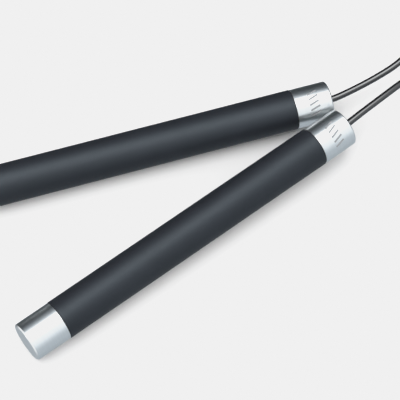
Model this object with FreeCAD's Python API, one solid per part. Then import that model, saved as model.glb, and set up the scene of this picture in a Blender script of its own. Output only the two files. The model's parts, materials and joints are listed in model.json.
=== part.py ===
import FreeCAD, Part
import math
import os

from FreeCAD import Vector

# Speed rope: two ball-bearing handles that spin freely on the two ends of one coated steel cable.
# Millimetres, +Z up. The handles lie on the floor in a V with their caps together. +X is the V's
# middle line, towards the cable. The origin is under the middle of the two handles' box.

# ---- driving dimensions -------------------------------------------------------------------
handle_length = 166.6
cap_length = 16.2          # what shows of each metal cap
cap_radius = 8.65
grip_radius = 8.8
tube_outer = 7.6           # core tube under the grip sleeve
tube_inner = 6.6
seal_thickness = 0.3       # rubber ring between a cap and the grip
seal_radius = 8.3
rim_chamfer = 0.5          # at 45 degrees round each cap's end face
fit_gap = 0.02             # radial room of parts pushed or screwed together

bearing_bore = 2.5         # 5 x 11 x 4 mm ball bearing
bearing_outer = 5.5
bearing_width = 4.0
ball_radius = 0.8
ball_count = 10
pitch_radius = 4.0         # circle of the ball centres
groove_radius = 0.86       # raceway, a little larger than the ball
inner_shoulder = 3.4
outer_shoulder = 4.6
shield_thickness = 0.2
shield_inner = 3.55
shield_seat = 4.85
front_bearing_x = -4.0     # bearing middles, from the front face
rear_bearing_x = -13.0

cable_radius = 1.5
cable_bore = 1.55
joint_depth = 2.0          # the inner and outer cable lengths meet this far inside the face
cable_end_x = -36.0
ferrule_radius = 2.2

mark_bars = 5              # plain engraved bars on each front cap
mark_step = 16.0           # degrees from bar to bar
mark_roll = 25.0           # degrees from straight up, towards -Y
mark_slant = 18.0          # degrees from the handle's axis
mark_length = 4.6
mark_width = 0.8
mark_depth = 0.2

splay = 10.15              # degrees between each handle and +X
lean = 1.43                # the right handle's front is raised: it leans on the left cap
right_face = Vector(81.10, -8.27, 12.81)
left_face = Vector(82.88, 8.27, grip_radius)

# ---- cable route, from 2 mm inside each front face to the coil -------------------------------
right_route = [
    (79.13, -8.62, 12.76),
    (83.07, -7.92, 12.86),
    (90.8, -5.8, 12.8),
    (104.5, -2.4, 12.4),
    (119.0, 1.6, 11.0),
    (133.0, -0.2, 6.6),
    (142.6, -5.2, 2.5),
    (151.7, -10.4, 1.7),
]
left_route = [
    (80.91, 8.62, 8.8),
    (84.85, 7.92, 8.8),
    (91.5, 7.95, 8.9),
    (103.5, 8.4, 9.3),
    (119.0, 10.2, 10.0),
    (129.0, 14.5, 10.4),
    (136.4, 22.6, 10.6),
    (143.1, 31.1, 10.6),
]

# ---- put-away coil ---------------------------------------------------------------------------
coil_centre = Vector(166.8, 14.4, 0.0)
coil_mean_radius = 22.0
coil_width = 17.15
coil_lift = 0.8            # the tie under the coil's +X side lifts that side this much
coil_height = 12.1
coil_corner = 3.0
tie_width = 7.0
tie_thickness = 0.8

AXIS = Vector(1, 0, 0)


# ---- shapes along a handle's own axis: x = 0 at the front face, the handle runs to -x ---------
def rod(x_low, x_high, radius):
    """A round bar, with its surface's seam line underneath."""
    bar = Part.makeCylinder(radius, x_high - x_low, Vector(x_low, 0, 0), AXIS)
    bar.rotate(Vector(0, 0, 0), AXIS, 180)
    return bar


def tube(x_low, x_high, inner, outer):
    return rod(x_low, x_high, outer).cut(rod(x_low - 1, x_high + 1, inner))


def radial_rod(x, low, high, radius):
    return Part.makeCylinder(radius, high - low, Vector(x, 0, low), Vector(0, 0, 1))


def rim_edges(shape, x, radius):
    """The circular edges of that radius at that place along the axis."""
    found = []
    for edge in shape.Edges:
        circle = edge.Curve
        if isinstance(circle, Part.Circle) and abs(circle.Radius - radius) < 0.01:
            if abs(circle.Center.x - x) < 0.01:
                found.append(edge)
    return found


def rounded(shape, x, radius, size):
    return shape.makeFillet(size, rim_edges(shape, x, radius))


def chamfered(shape, x, radius):
    return shape.makeChamfer(rim_chamfer, rim_edges(shape, x, radius))


# ---- the handle's own pieces -------------------------------------------------------------------
tube_front = -cap_length - seal_thickness
tube_rear = -handle_length + cap_length + seal_thickness
spigot_radius = tube_inner - fit_gap
housing_bore = bearing_outer + fit_gap
spigot_length = 12.0
lip_rear = front_bearing_x + bearing_width / 2
housing_rear = rear_bearing_x - bearing_width / 2
clip_thickness = 0.8


def mark_bar(angle):
    """A shallow straight bar cut into the cap, at a slant to the handle."""
    low = Vector(-mark_length / 2, -mark_width / 2, cap_radius - mark_depth)
    bar = Part.makeBox(mark_length, mark_width, 2.0, low)
    bar.rotate(Vector(0, 0, 0), Vector(0, 0, 1), mark_slant)
    bar.translate(Vector(-cap_length / 2, 0, 0))
    bar.rotate(Vector(0, 0, 0), AXIS, angle)
    return bar


def front_cap():
    """Bearing housing: lip in front, bore for two bearings, clip groove, screwed spigot."""
    body = chamfered(rod(-cap_length, 0, cap_radius), 0, cap_radius)
    body = body.fuse(rod(-cap_length - spigot_length, -cap_length, spigot_radius))
    body = body.cut(rod(-cap_length - spigot_length - 1, lip_rear, housing_bore))
    body = body.cut(rod(lip_rear - 1, 1, 2.9))
    body = body.cut(rod(lip_rear - 1, lip_rear + 0.4, 4.4))
    body = body.cut(Part.makeCone(2.9, 3.5, 0.6, Vector(-0.6, 0, 0), AXIS))
    body = body.cut(rod(housing_rear - clip_thickness - 0.1, housing_rear - 0.02, 6.05))
    first = mark_roll - mark_step * (mark_bars - 1) / 2
    for i in range(mark_bars):
        body = body.cut(mark_bar(first + i * mark_step))
    return body.removeSplitter()


def end_cap():
    """Closed plug, hollowed from inside, with a screwed spigot."""
    rear = -handle_length
    body = rod(rear, rear + cap_length, cap_radius)
    body = chamfered(body, rear, cap_radius)
    body = body.fuse(rod(rear + cap_length, rear + cap_length + spigot_length, spigot_radius))
    body = body.cut(rod(rear + 4.0, rear + cap_length + spigot_length + 1, 5.0))
    return body.removeSplitter()


def grip_sleeve():
    body = tube(tube_rear, tube_front, tube_outer + fit_gap, grip_radius)
    body = rounded(body, tube_front, grip_radius, 0.25)
    return rounded(body, tube_rear, grip_radius, 0.25)


def core_tube():
    return tube(tube_rear, tube_front, tube_inner, tube_outer)


def seal_ring(x_low):
    return tube(x_low, x_low + seal_thickness, tube_inner + 0.05, seal_radius)


def retaining_ring():
    """Internal clip: an open ring in the cap's groove, behind the rear bearing."""
    x_low = housing_rear - clip_thickness - 0.05
    ring = tube(x_low, x_low + clip_thickness, 4.7, 6.0)
    opening = Part.makeBox(2, 3.0, 4, Vector(x_low - 0.5, -1.5, 3.5))
    return ring.cut(opening)


def outer_spacer():
    return tube(rear_bearing_x + bearing_width / 2, front_bearing_x - bearing_width / 2,
                4.7, bearing_outer)


# ---- one ball bearing, by its pieces -----------------------------------------------------------
def raceway(x):
    return Part.makeTorus(pitch_radius, groove_radius, Vector(x, 0, 0), AXIS)


def outer_ring(x):
    half = bearing_width / 2
    seat = shield_thickness + 0.1
    ring = tube(x - half, x + half, outer_shoulder, bearing_outer)
    ring = ring.cut(rod(x + half - seat, x + half + 1, shield_seat))
    ring = ring.cut(rod(x - half - 1, x - half + seat, shield_seat))
    return ring.cut(raceway(x))


def inner_ring(x):
    half = bearing_width / 2
    return tube(x - half, x + half, bearing_bore, inner_shoulder).cut(raceway(x))


def shields(x):
    """Two thin washers pressed into the outer ring."""
    reach = bearing_width / 2 - 0.05
    front = tube(x + reach - shield_thickness, x + reach, shield_inner, shield_seat - fit_gap)
    rear = tube(x - reach, x - reach + shield_thickness, shield_inner, shield_seat - fit_gap)
    return Part.makeCompound([front, rear])


def ball_centre(x, i):
    angle = 2 * math.pi * i / ball_count
    return Vector(x, pitch_radius * math.cos(angle), pitch_radius * math.sin(angle))


def balls(x):
    return Part.makeCompound([Part.makeSphere(ball_radius, ball_centre(x, i)) for i in range(ball_count)])


def cage(x):
    """Plain ring with a round pocket for each ball."""
    ring = tube(x - 1.2, x + 1.2, 3.65, 4.4)
    for i in range(ball_count):
        ring = ring.cut(Part.makeSphere(ball_radius + 0.08, ball_centre(x, i)))
    return ring


# ---- what turns with the cable -----------------------------------------------------------------
flange_front = housing_rear
flange_rear = flange_front - 1.4
collar_front = flange_rear - 0.05
collar_rear = collar_front - 6.0
collar_radius = 4.4
screw_x = (collar_front + collar_rear) / 2


def spindle():
    """Hollow axle with a flange that pulls on the rear bearing's inner ring."""
    body = rod(flange_front, -0.2, bearing_bore - 0.015)
    body = rounded(body, -0.2, bearing_bore - 0.015, 0.2)
    body = body.fuse(rod(flange_rear, flange_front, 3.3))
    return body.cut(rod(flange_rear - 1, 1, cable_bore))


def inner_spacer():
    return tube(rear_bearing_x + bearing_width / 2, front_bearing_x - bearing_width / 2,
                bearing_bore, 3.2)


def stop_collar():
    body = tube(collar_rear, collar_front, cable_bore, collar_radius)
    body = rounded(body, collar_rear, collar_radius, 0.4)
    return body.cut(radial_rod(screw_x, 0.9, collar_radius + 1, 1.52))


def stop_screw():
    """Grub screw with a hexagon socket, its tip on the cable."""
    low = cable_radius + 0.02
    body = radial_rod(screw_x, low, 4.1, 1.5)
    corners = [Vector(screw_x + 0.87 * math.cos(math.radians(60 * i)),
                      0.87 * math.sin(math.radians(60 * i)), 2.7) for i in range(7)]
    socket = Part.Face(Part.makePolygon(corners)).extrude(Vector(0, 0, 3))
    return body.cut(socket)


def cable_end():
    return rod(cable_end_x, -joint_depth, cable_radius)


def end_ferrule():
    body = rod(cable_end_x - 1.0, cable_end_x + 5.0, ferrule_radius)
    body = rounded(body, cable_end_x - 1.0, ferrule_radius, 0.3)
    return body.cut(rod(cable_end_x - 0.02, cable_end_x + 6.0, cable_radius + 0.02))


def handle_pieces():
    """Every piece of one handle, along its own axis."""
    pieces = {
        "front_cap": front_cap(),
        "grip_sleeve": grip_sleeve(),
        "core_tube": core_tube(),
        "end_cap": end_cap(),
        "front_seal_ring": seal_ring(tube_front),
        "end_seal_ring": seal_ring(tube_rear - seal_thickness),
        "retaining_ring": retaining_ring(),
        "outer_spacer": outer_spacer(),
        "spindle": spindle(),
        "inner_spacer": inner_spacer(),
        "stop_collar": stop_collar(),
        "stop_screw": stop_screw(),
        "cable_end": cable_end(),
        "cable_end_ferrule": end_ferrule(),
    }
    for name, x in (("front_bearing", front_bearing_x), ("rear_bearing", rear_bearing_x)):
        pieces[name + "_outer_ring"] = outer_ring(x)
        pieces[name + "_inner_ring"] = inner_ring(x)
        pieces[name + "_shields"] = shields(x)
        pieces[name + "_balls"] = balls(x)
        pieces[name + "_cage"] = cage(x)
    return pieces


def handle_placement(face, yaw, pitch):
    """Turns the handle's axis to its heading, raises its front by pitch and puts its face in place."""
    heading = FreeCAD.Rotation(Vector(0, 0, 1), yaw)
    raised = FreeCAD.Rotation(Vector(0, 1, 0), -pitch)
    return FreeCAD.Placement(face, heading.multiply(raised))


# ---- cable outside the handles -----------------------------------------------------------------
def cable_path(points):
    """Straight runs joined by tangent arcs as large as their runs allow."""
    corners = [Vector(*point) for point in points]
    edges = []
    radii = []
    start = corners[0]
    for before, corner, after in zip(corners, corners[1:], corners[2:]):
        back = (before - corner).normalize()
        ahead = (after - corner).normalize()
        turn = math.pi - back.getAngle(ahead)
        reach = 0.45 * min((before - corner).Length, (after - corner).Length)
        radius = reach / math.tan(turn / 2)
        inward = (back + ahead).normalize()
        middle = corner + inward * (radius / math.cos(turn / 2) - radius)
        arc_start = corner + back * reach
        arc_end = corner + ahead * reach
        edges.append(Part.LineSegment(start, arc_start).toShape())
        edges.append(Part.Arc(arc_start, middle, arc_end).toShape())
        start = arc_end
        radii.append(radius)
    edges.append(Part.LineSegment(start, corners[-1]).toShape())
    return Part.Wire(edges), radii


def cable_lead(name, points):
    path, radii = cable_path(points)
    direction = Vector(*points[1]) - Vector(*points[0])
    section = Part.Wire(Part.makeCircle(cable_radius, Vector(*points[0]), direction))
    lead = path.makePipeShell([section], True, True)
    expected = math.pi * cable_radius ** 2 * path.Length
    print(name, "length", round(path.Length, 1), "radii", [round(radius, 1) for radius in radii],
          "volume ratio", round(lead.Volume / expected, 4))
    return lead


def coil():
    """Outer shape of the wound cable: a flat ring with rounded edges, tilted by the tie under it."""
    inner = coil_mean_radius - coil_width / 2
    outer = coil_mean_radius + coil_width / 2
    hole = Part.makeCylinder(inner, coil_height, coil_centre)
    ring = Part.makeCylinder(outer, coil_height, coil_centre).cut(hole)
    rims = [edge for edge in ring.Edges if isinstance(edge.Curve, Part.Circle)]
    ring = ring.makeFillet(coil_corner, rims)
    tilt = math.degrees(math.asin(coil_lift / (2 * outer)))
    ring.rotate(coil_centre - Vector(outer, 0, 0), Vector(0, 1, 0), -tilt)
    return ring


def coil_tie(ring):
    """Hook-and-loop strap round the coil's section, with its tab lapped on the outside."""
    inner = coil_mean_radius - coil_width / 2 - tie_thickness
    length = coil_width + 2 * tie_thickness
    height = coil_lift + coil_height + tie_thickness
    corner = coil_centre + Vector(inner, -tie_width / 2, 0)
    band = Part.makeBox(length, tie_width, height, corner)
    long_edges = [edge for edge in band.Edges if abs(edge.tangentAt(0).y) > 0.99]
    band = band.makeFillet(coil_corner + tie_thickness, long_edges)
    tab_low = corner + Vector(length, 0.4, coil_corner + tie_thickness)
    tab = Part.makeBox(tie_thickness, tie_width - 0.8, 3.6, tab_low)
    return band.fuse(tab).cut(ring)


def main():
    os.makedirs("parts", exist_ok=True)
    nodes = {}
    pieces = handle_pieces()
    for side, face, yaw, pitch in (("right", right_face, splay, lean), ("left", left_face, -splay, 0.0)):
        placement = handle_placement(face, yaw, pitch)
        for name, piece in pieces.items():
            placed = piece.copy()
            placed.Placement = placement.multiply(placed.Placement)
            nodes[side + "_" + name] = placed
    nodes["cable_lead_right"] = cable_lead("cable_lead_right", right_route)
    nodes["cable_lead_left"] = cable_lead("cable_lead_left", left_route)
    nodes["cable_coil"] = coil()
    nodes["coil_tie"] = coil_tie(nodes["cable_coil"])
    for name, shape in nodes.items():
        if not shape.isValid():
            print("not valid:", name)
        shape.exportStep("parts/" + name + ".step")
    print(len(nodes), "nodes")


main()
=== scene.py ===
import json
import math

import bpy
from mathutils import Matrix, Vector


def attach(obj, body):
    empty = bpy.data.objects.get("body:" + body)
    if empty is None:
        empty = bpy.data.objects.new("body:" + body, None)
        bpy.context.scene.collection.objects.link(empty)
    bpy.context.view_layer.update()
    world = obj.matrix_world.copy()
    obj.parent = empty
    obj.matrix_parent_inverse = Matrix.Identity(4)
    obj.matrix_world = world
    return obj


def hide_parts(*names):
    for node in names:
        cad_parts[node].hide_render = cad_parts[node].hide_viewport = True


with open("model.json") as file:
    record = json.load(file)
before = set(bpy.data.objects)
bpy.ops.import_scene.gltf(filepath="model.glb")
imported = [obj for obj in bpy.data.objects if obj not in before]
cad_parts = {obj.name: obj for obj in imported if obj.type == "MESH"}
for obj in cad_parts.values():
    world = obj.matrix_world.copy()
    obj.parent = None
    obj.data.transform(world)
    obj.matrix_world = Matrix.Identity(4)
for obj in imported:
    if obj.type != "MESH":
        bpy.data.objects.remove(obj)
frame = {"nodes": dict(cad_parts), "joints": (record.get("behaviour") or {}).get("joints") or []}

# Speed rope: metres, in the part's own frame. +X runs along the middle of the V of handles towards
# the cable, +Z is up and the floor is z = 0.
nodes = frame["nodes"]
joints = {joint["name"]: joint for joint in frame["joints"]}
scene = bpy.context.scene
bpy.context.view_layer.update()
MM = 0.001


def link(obj):
    scene.collection.objects.link(obj)
    return obj


# ---- camera ------------------------------------------------------------------------------------
def make_camera():
    """Looks down from the near side, over the right handle's rear end, through a long lens."""
    target = Vector((0.01247, -0.00641, 0.0))
    heading = math.radians(26.72)            # from +Y towards +X
    elevation = math.radians(62.03)
    distance = 0.8109
    ahead = Vector((math.sin(heading), math.cos(heading), 0.0))
    back = Vector((0, 0, math.sin(elevation))) - ahead * math.cos(elevation)
    data = bpy.data.cameras.new("camera")
    data.sensor_width = 36.0
    data.lens = 169.34
    data.clip_start = 0.01
    camera = link(bpy.data.objects.new("camera", data))
    camera.location = target + back * distance
    camera.rotation_euler = back.to_track_quat("Z", "Y").to_euler()
    scene.camera = camera


# ---- shader helpers ----------------------------------------------------------------------------
def new_material(name, colour, roughness, metallic=0.0):
    material = bpy.data.materials.new(name)
    material.use_nodes = True
    tree = material.node_tree
    shader = tree.nodes["Principled BSDF"]
    shader.inputs["Base Color"].default_value = (*colour, 1)
    shader.inputs["Roughness"].default_value = roughness
    shader.inputs["Metallic"].default_value = metallic
    return material, tree, shader


def fill(tree, socket, value):
    """Links a node's output to a socket, or sets the socket to a plain value."""
    if isinstance(value, bpy.types.NodeSocket):
        tree.links.new(value, socket)
    else:
        socket.default_value = value


def math_node(tree, operation, *values):
    node = tree.nodes.new("ShaderNodeMath")
    node.operation = operation
    for socket, value in zip(node.inputs, values):
        fill(tree, socket, value)
    return node.outputs["Value"]


def vector_node(tree, operation, *values):
    node = tree.nodes.new("ShaderNodeVectorMath")
    node.operation = operation
    for socket, value in zip(node.inputs, values):
        fill(tree, socket, value)
    return node.outputs["Value" if operation in ("DOT_PRODUCT", "LENGTH") else "Vector"]


def object_point(tree):
    return tree.nodes.new("ShaderNodeTexCoord").outputs["Object"]


def noise(tree, place, scale, detail, dimensions="3D"):
    node = tree.nodes.new("ShaderNodeTexNoise")
    node.noise_dimensions = dimensions
    node.inputs["Scale"].default_value = scale
    node.inputs["Detail"].default_value = detail
    tree.links.new(place, node.inputs["W" if dimensions == "1D" else "Vector"])
    return node.outputs["Fac"]


def spread(tree, value, low, high):
    """Stretches noise, which lies mostly between 0.3 and 0.7, over low to high."""
    node = tree.nodes.new("ShaderNodeMapRange")
    node.inputs["From Min"].default_value = 0.3
    node.inputs["From Max"].default_value = 0.7
    node.inputs["To Min"].default_value = low
    node.inputs["To Max"].default_value = high
    tree.links.new(value, node.inputs["Value"])
    return node.outputs["Result"]


def step_down(tree, value, start, end):
    """1 up to start, falling smoothly to 0 at end."""
    node = tree.nodes.new("ShaderNodeMapRange")
    node.interpolation_type = "SMOOTHSTEP"
    node.inputs["From Min"].default_value = start
    node.inputs["From Max"].default_value = end
    node.inputs["To Min"].default_value = 1.0
    node.inputs["To Max"].default_value = 0.0
    tree.links.new(value, node.inputs["Value"])
    return node.outputs["Result"]


def mix_links(tree, factor, first, second):
    """A colour mix whose ends are colours or other nodes' outputs."""
    node = tree.nodes.new("ShaderNodeMix")
    node.data_type = "RGBA"
    tree.links.new(factor, node.inputs["Factor"])
    for name, value in (("A", first), ("B", second)):
        socket = [s for s in node.inputs if s.name == name and s.type == "RGBA"][0]
        fill(tree, socket, value)
    return [s for s in node.outputs if s.type == "RGBA"][0]


def blend_colours(tree, factor, first, second):
    return mix_links(tree, factor, (*first, 1), (*second, 1))


def add_bump(tree, shader, height, distance):
    node = tree.nodes.new("ShaderNodeBump")
    node.inputs["Strength"].default_value = 1.0
    node.inputs["Distance"].default_value = distance
    tree.links.new(height, node.inputs["Height"])
    tree.links.new(node.outputs["Normal"], shader.inputs["Normal"])


def place_on_axis(tree, joint):
    """How far along a handle's axis a point is, and how far from it."""
    axis = Vector(joint["axis"])
    from_pivot = vector_node(tree, "SUBTRACT", object_point(tree), Vector(joint["pos_m"]))
    along = vector_node(tree, "DOT_PRODUCT", from_pivot, axis)
    radius = vector_node(tree, "LENGTH", vector_node(tree, "CROSS_PRODUCT", from_pivot, axis))
    return along, radius


# ---- materials ---------------------------------------------------------------------------------
CAP_RADIUS = 8.65 * MM
CAP_ROUGHNESS = 0.302                        # smoother metal would come out speckled
ETCHED_COLOUR = (0.30, 0.31, 0.32)           # floor of the engraved bars
ETCHED_ROUGHER = 0.5                         # how much rougher it is than the metal
ETCHED_FROM = (0.04 * MM, 0.12 * MM)         # depth under the cap's surface over which etching fades in
ETCHED_TO = (0.30 * MM, 0.40 * MM)           # and fades out again, so that the bore is plain
ETCHED_ALONG = (6.0 * MM, 7.0 * MM)          # and how far forward it ends, short of the rim's bevel
DARKER_RINGS = 0.94                          # tone of the darker turning marks


def turned_metal(name, joint, colour, roughness, marked=False):
    """Metal from a lathe: fine marks round the axis, in circles on its end faces, and slightly
    uneven sheen. marked adds the dull etched floor of the engraved bars."""
    material, tree, shader = new_material(name, colour, roughness, 1.0)
    along, radius = place_on_axis(tree, joint)
    place = math_node(tree, "ADD", along, radius)
    fine = noise(tree, place, scale=9000, detail=3, dimensions="1D")
    coarse = noise(tree, place, scale=900, detail=2, dimensions="1D")
    cloud = noise(tree, object_point(tree), scale=160, detail=3)
    darker = tuple(DARKER_RINGS * part for part in colour)
    metal = blend_colours(tree, spread(tree, coarse, 0.0, 0.5), colour, darker)
    rings = spread(tree, coarse, -0.012, 0.012)
    patches = spread(tree, cloud, -0.01, 0.01)
    sheen = math_node(tree, "ADD", math_node(tree, "ADD", rings, patches), roughness)
    if marked:
        below = step_down(tree, radius, CAP_RADIUS - ETCHED_FROM[1], CAP_RADIUS - ETCHED_FROM[0])
        outside = step_down(tree, radius, CAP_RADIUS - ETCHED_TO[0], CAP_RADIUS - ETCHED_TO[1])
        behind_rim = step_down(tree, along, *ETCHED_ALONG)
        etched = math_node(tree, "MULTIPLY", math_node(tree, "MULTIPLY", below, outside), behind_rim)
        metal = mix_links(tree, etched, metal, (*ETCHED_COLOUR, 1))
        sheen = math_node(tree, "MULTIPLY_ADD", etched, ETCHED_ROUGHER, sheen)
        tree.links.new(math_node(tree, "SUBTRACT", 1.0, etched), shader.inputs["Metallic"])
    tree.links.new(metal, shader.inputs["Base Color"])
    tree.links.new(sheen, shader.inputs["Roughness"])
    add_bump(tree, shader, fine, 0.0008 * MM)
    return material


def grip_material():
    """Matte soft-touch coating, dark graphite, with a very fine grain."""
    colour = (0.0085, 0.0092, 0.0124)
    material, tree, shader = new_material("soft_touch", colour, 0.54)
    point = object_point(tree)
    cloud = noise(tree, point, scale=90, detail=4)
    lighter = tuple(1.3 * part for part in colour)
    tree.links.new(blend_colours(tree, spread(tree, cloud, 0.0, 1.0), colour, lighter),
                   shader.inputs["Base Color"])
    patches = noise(tree, point, scale=700, detail=3)
    tree.links.new(spread(tree, patches, 0.52, 0.57), shader.inputs["Roughness"])
    shader.inputs["Specular IOR Level"].default_value = 0.40
    shader.inputs["Specular Tint"].default_value = (0.80, 0.93, 1.0, 1)
    add_bump(tree, shader, noise(tree, point, scale=6000, detail=3), 0.006 * MM)
    return material


def plain_material(name, colour, roughness, metallic=0.0, grain=0.003 * MM):
    """A small piece's material: slight changes of tone and sheen over a fine grain."""
    material, tree, shader = new_material(name, colour, roughness, metallic)
    point = object_point(tree)
    cloud = noise(tree, point, scale=800, detail=3)
    darker = tuple(0.8 * part for part in colour)
    tree.links.new(blend_colours(tree, spread(tree, cloud, 0.0, 1.0), colour, darker),
                   shader.inputs["Base Color"])
    tree.links.new(spread(tree, cloud, 0.85 * roughness, 1.15 * roughness), shader.inputs["Roughness"])
    add_bump(tree, shader, noise(tree, point, scale=7200, detail=2), grain)
    return material


def cable_material():
    """Glossy black coating with faint scuffs."""
    colour = (0.004, 0.004, 0.0043)
    scuffed = (0.012, 0.012, 0.0125)
    material, tree, shader = new_material("cable_coating", colour, 0.15)
    shader.inputs["IOR"].default_value = 1.8
    point = object_point(tree)
    scuff = noise(tree, point, scale=1200, detail=4)
    tree.links.new(blend_colours(tree, spread(tree, scuff, 0.0, 1.0), colour, scuffed),
                   shader.inputs["Base Color"])
    tree.links.new(spread(tree, scuff, 0.11, 0.19), shader.inputs["Roughness"])
    add_bump(tree, shader, noise(tree, point, scale=2500, detail=2), 0.004 * MM)
    return material


def fabric_material():
    """Woven strap of hook-and-loop tape: two crossing sets of threads under a short nap."""
    colour = (0.012, 0.012, 0.013)
    thread_tops = (0.045, 0.045, 0.048)
    material, tree, shader = new_material("tie_fabric", colour, 0.85)
    point = object_point(tree)
    threads = []
    for direction in ("X", "Y"):
        wave = tree.nodes.new("ShaderNodeTexWave")
        wave.bands_direction = direction
        wave.inputs["Scale"].default_value = 520
        wave.inputs["Distortion"].default_value = 1.5
        tree.links.new(point, wave.inputs["Vector"])
        threads.append(wave.outputs["Fac"])
    weave = math_node(tree, "MULTIPLY", *threads)
    height = math_node(tree, "ADD", weave, noise(tree, point, scale=4000, detail=3))
    patches = noise(tree, point, scale=900, detail=3)
    tree.links.new(blend_colours(tree, height, colour, thread_tops), shader.inputs["Base Color"])
    tree.links.new(spread(tree, patches, 0.78, 0.95), shader.inputs["Roughness"])
    add_bump(tree, shader, height, 0.06 * MM)
    return material


ALUMINIUM = (0.76, 0.785, 0.795)
DRAWN_ALUMINIUM = (0.68, 0.69, 0.71)
STEEL = (0.60, 0.60, 0.61)
BRASS = (0.72, 0.55, 0.27)


def handle_materials(side):
    """Materials of one handle's turned pieces, whose marks run round its own axis."""
    joint = joints[side + "_handle_spin"]
    drawn = turned_metal(side + "_drawn_aluminium", joint, DRAWN_ALUMINIUM, 0.35)
    steel = turned_metal(side + "_bearing_steel", joint, STEEL, 0.16)
    brass = turned_metal(side + "_turned_brass", joint, BRASS, 0.25)
    return {
        "end_cap": turned_metal(side + "_satin_aluminium", joint, ALUMINIUM, CAP_ROUGHNESS),
        "front_cap": turned_metal(side + "_marked_aluminium", joint, ALUMINIUM, CAP_ROUGHNESS, marked=True),
        "core_tube": drawn,
        "spacer": drawn,
        "ring": steel,
        "spindle": steel,
        "shields": steel,
        "collar": brass,
        "ferrule": brass,
    }


def paint_nodes():
    """Gives each CAD node the material that matches the longest end of its name. Returns the
    cable's material, because the cable's own nodes are replaced."""
    black_steel = plain_material("black_steel", (0.10, 0.10, 0.105), 0.35, 1.0)
    shared = {
        "grip_sleeve": grip_material(),
        "seal_ring": plain_material("seal_rubber", (0.012, 0.012, 0.013), 0.6),
        "retaining_ring": black_steel,
        "stop_screw": black_steel,
        "balls": plain_material("ball_steel", (0.75, 0.75, 0.76), 0.08, 1.0, grain=0.0002 * MM),
        "cage": plain_material("cage_brass", BRASS, 0.3, 1.0),
        "cable_end": cable_material(),
        "coil_tie": fabric_material(),
    }
    own = {side: handle_materials(side) for side in ("right", "left")}
    for name, node in nodes.items():
        choices = {**shared, **own.get(name.split("_")[0], {})}
        endings = [key for key in choices if name.endswith(key)]
        if endings:
            node.data.materials.clear()
            node.data.materials.append(choices[max(endings, key=len)])
    return shared["cable_end"]


# ---- cable -------------------------------------------------------------------------------------
# Routes and the coil's sizes are in millimetres.
CABLE_RADIUS = 1.5
RIGHT_ROUTE = [                              # from the right handle to the coil
    (79.13, -8.62, 12.76),
    (83.07, -7.92, 12.86),
    (90.8, -5.8, 12.8),
    (104.5, -2.4, 12.4),
    (119.0, 1.6, 11.0),
    (133.0, -0.2, 6.6),
    (142.6, -5.2, 2.5),
]
LEFT_ROUTE = [                               # from the left handle to the coil
    (80.91, 8.62, 8.8),
    (84.85, 7.92, 8.8),
    (91.5, 7.95, 8.9),
    (103.5, 8.4, 9.3),
    (119.0, 10.2, 10.0),
    (129.0, 14.5, 10.4),
    (136.4, 22.6, 10.6),
]
COIL_CENTRE = (166.8, 14.4)
COIL_MEAN = 22.0                             # radius at the middle of the turns
COIL_OUTER = 30.575                          # radius outside
COIL_LIFT = 0.8                              # the tie under the coil's +X side lifts that side this much
COIL_START = -121.3                          # degrees, where the right lead joins
COIL_END = 144.8                             # degrees, where the left lead does
TURNS = 18 + (COIL_END - COIL_START) / 360
LAYERS = 4
CLIMB = 0.1                                  # share of a layer's turns in which the next layer is reached
POINTS_PER_TURN = 16
PITCH = 2 * CABLE_RADIUS                     # turns and layers touch


def coil_points():
    """Layers of turns, wound inward and outward by turns, from the right lead to the left."""
    count = round(TURNS * POINTS_PER_TURN)
    per_layer = TURNS / LAYERS
    widest = COIL_MEAN + per_layer * PITCH / 2
    outside_corner = 1 / math.cos(math.pi / POINTS_PER_TURN)
    points = []
    for i in range(count + 1):
        turn = i * TURNS / count
        layer = min(int(turn / per_layer), LAYERS - 1)
        done = turn / per_layer - layer
        inward = done if layer % 2 == 0 else 1 - done
        radius = (widest - inward * per_layer * PITCH) * outside_corner
        climb = max(0.0, (done - 1 + CLIMB) / CLIMB) if layer < LAYERS - 1 else 0.0
        angle = math.radians(COIL_START + 360 * turn)
        across = radius * math.cos(angle)
        lift = COIL_LIFT * (across + COIL_OUTER) / (2 * COIL_OUTER)
        points.append((COIL_CENTRE[0] + across, COIL_CENTRE[1] + radius * math.sin(angle),
                       lift + PITCH / 2 + (layer + climb) * PITCH))
    return points


def make_cable(material):
    """The whole free cable: right lead, coil and left lead on one spline."""
    route = RIGHT_ROUTE + coil_points() + LEFT_ROUTE[::-1]
    curve = bpy.data.curves.new("cable", "CURVE")
    curve.dimensions = "3D"
    spline = curve.splines.new("NURBS")
    spline.points.add(len(route) - 1)
    for point, place in zip(spline.points, route):
        point.co = (*(MM * part for part in place), 1)
    spline.order_u = 3
    spline.use_endpoint_u = True
    spline.resolution_u = 6
    curve.bevel_depth = CABLE_RADIUS * MM
    curve.bevel_resolution = 5
    curve.use_fill_caps = True
    curve.materials.append(material)
    cable = link(bpy.data.objects.new("cable", curve))
    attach(cable, "cable")
    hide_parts("cable_lead_right", "cable_lead_left", "cable_coil")


# ---- floor and light ---------------------------------------------------------------------------
def make_floor():
    """Plain matt floor. Shiny pieces show the surround in its place."""
    mesh = bpy.data.meshes.new("floor")
    half = 3.0
    mesh.from_pydata([(-half, -half, 0), (half, -half, 0), (half, half, 0), (-half, half, 0)], [],
                     [(0, 1, 2, 3)])
    floor = link(bpy.data.objects.new("floor", mesh))
    material, _, shader = new_material("floor_paint", (0.88, 0.88, 0.88), 0.9)
    shader.inputs["Specular IOR Level"].default_value = 0.0
    mesh.materials.append(material)
    floor.visible_glossy = False


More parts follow.
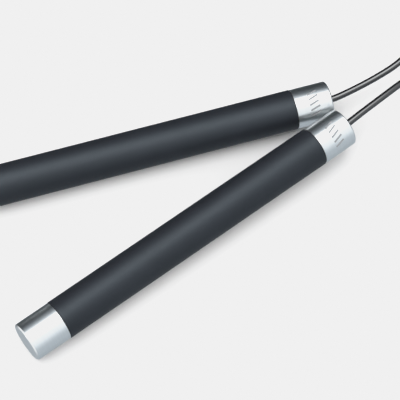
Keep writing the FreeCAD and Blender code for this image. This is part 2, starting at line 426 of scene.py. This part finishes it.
# What shiny surfaces show: brightness against the angle from straight up, positive to the near side.
SKY = [(-180, 0.48), (-160, 0.44), (-142, 0.30), (-124, 0.10), (-100, 0.04), (-78, 0.037), (-68, 0.058),
       (-56, 0.115), (-45, 0.235), (-35, 0.43), (-26, 0.76), (-16, 1.12), (62, 1.15), (69, 0.98),
       (78, 0.80), (87, 0.68), (97, 0.60), (132, 0.57), (150, 0.53), (170, 0.49), (180, 0.48)]
SKY_PALE = (0.96, 1.0, 1.03)                 # tint of its bright parts
SKY_DARK = (0.86, 1.0, 1.12)                 # and of its dark parts
SKY_ON_MATT = 1.17                           # the even light that matt surfaces receive
CARD = 1.15                                  # brightness of the white card beyond the rear ends
CARD_START = (0.52, 0.72)                    # where it fades in, as the -X part of a direction
KEY = 4.8                                    # what the long softbox overhead adds in a reflection
KEY_ON_MATT = 1.2                            # and on matt surfaces
KEY_HALF_WIDTH = 17                          # degrees
KEY_EDGE = 8                                 # degrees over which its long sides fade out
KEY_FADE = (0.36, 0.62)                      # where its far end does, as the X part of a direction
ONE_REFLECTION = 2.5                         # ray depths up to here are seen in one reflection
TWICE_REFLECTED = 0.35                       # how much of it all shows in a reflection of a reflection


def ramp_over_angle(tree, angle):
    """SKY as a colour ramp over an angle in radians."""
    share = math_node(tree, "MULTIPLY_ADD", angle, 0.5 / math.pi, 0.5)
    ramp = tree.nodes.new("ShaderNodeValToRGB")
    tree.links.new(share, ramp.inputs["Fac"])
    stops = ramp.color_ramp.elements
    while len(stops) < len(SKY):
        stops.new(0.5)
    brightest = max(value for _, value in SKY)
    for stop, (degrees, value) in zip(stops, SKY):
        stop.position = (degrees + 180) / 360
        pale = value / brightest
        stop.color = (*(value * (pale * p + (1 - pale) * d) for p, d in zip(SKY_PALE, SKY_DARK)), 1)
    return ramp.outputs["Color"]


def make_sky():
    """Studio surround. Matt surfaces get even light. Shiny ones show a long softbox overhead, a
    pale near side, a dark far side and a white card beyond the handles' rear ends."""
    world = bpy.data.worlds.new("studio")
    scene.world = world
    world.use_nodes = True
    world.cycles.sampling_method = "NONE"    # so that each ray meets the part of the surround meant for it
    tree = world.node_tree
    parts = tree.nodes.new("ShaderNodeSeparateXYZ")
    tree.links.new(tree.nodes.new("ShaderNodeTexCoord").outputs["Generated"], parts.inputs[0])
    near = math_node(tree, "MULTIPLY", parts.outputs["Y"], -1.0)
    angle = math_node(tree, "ARCTAN2", near, parts.outputs["Z"])
    sky = ramp_over_angle(tree, angle)
    beside_card = step_down(tree, math_node(tree, "MULTIPLY", parts.outputs["X"], -1.0), *CARD_START)
    sky = mix_links(tree, beside_card, (CARD, CARD, CARD, 1), sky)
    ray = tree.nodes.new("ShaderNodeLightPath")
    once = math_node(tree, "LESS_THAN", ray.outputs["Ray Depth"], ONE_REFLECTION)
    strength = math_node(tree, "MULTIPLY_ADD", once, 1.0 - TWICE_REFLECTED, TWICE_REFLECTED)
    across = step_down(tree, math_node(tree, "ABSOLUTE", angle), math.radians(KEY_HALF_WIDTH),
                       math.radians(KEY_HALF_WIDTH + KEY_EDGE))
    along = step_down(tree, parts.outputs["X"], *KEY_FADE)
    box = math_node(tree, "MULTIPLY", across, along)
    total = vector_node(tree, "ADD", sky, math_node(tree, "MULTIPLY", box, KEY))
    shown = vector_node(tree, "MULTIPLY", total, strength)
    even = math_node(tree, "MULTIPLY_ADD", box, KEY_ON_MATT, SKY_ON_MATT)
    light = mix_links(tree, ray.outputs["Is Diffuse Ray"], shown, even)
    tree.links.new(light, tree.nodes["Background"].inputs["Color"])


HIGHLIGHT_LIMIT = 2.1                        # linear, above the floor, so burnt-out metal keeps clean edges
SHOULDER = (0.80, 0.93)                      # tones between which the picture levels off
WHITE = 0.871                                # its palest tone


def set_film():
    """Plain tones up to a soft shoulder, then a level pale grey: a bright studio floor."""
    scene.cycles.sample_clamp_direct = HIGHLIGHT_LIMIT
    view = scene.view_settings
    view.view_transform = "Standard"
    view.use_curve_mapping = True
    mapping = view.curve_mapping
    mapping.extend = "HORIZONTAL"
    curve = mapping.curves[3]
    curve.points[1].location = (1.0, WHITE)
    curve.points.new(SHOULDER[0], SHOULDER[0])
    curve.points.new(SHOULDER[1], WHITE)
    for point in curve.points:
        point.handle_type = "VECTOR"
    mapping.update()


set_film()
make_camera()
make_cable(paint_nodes())
make_floor()
make_sky()
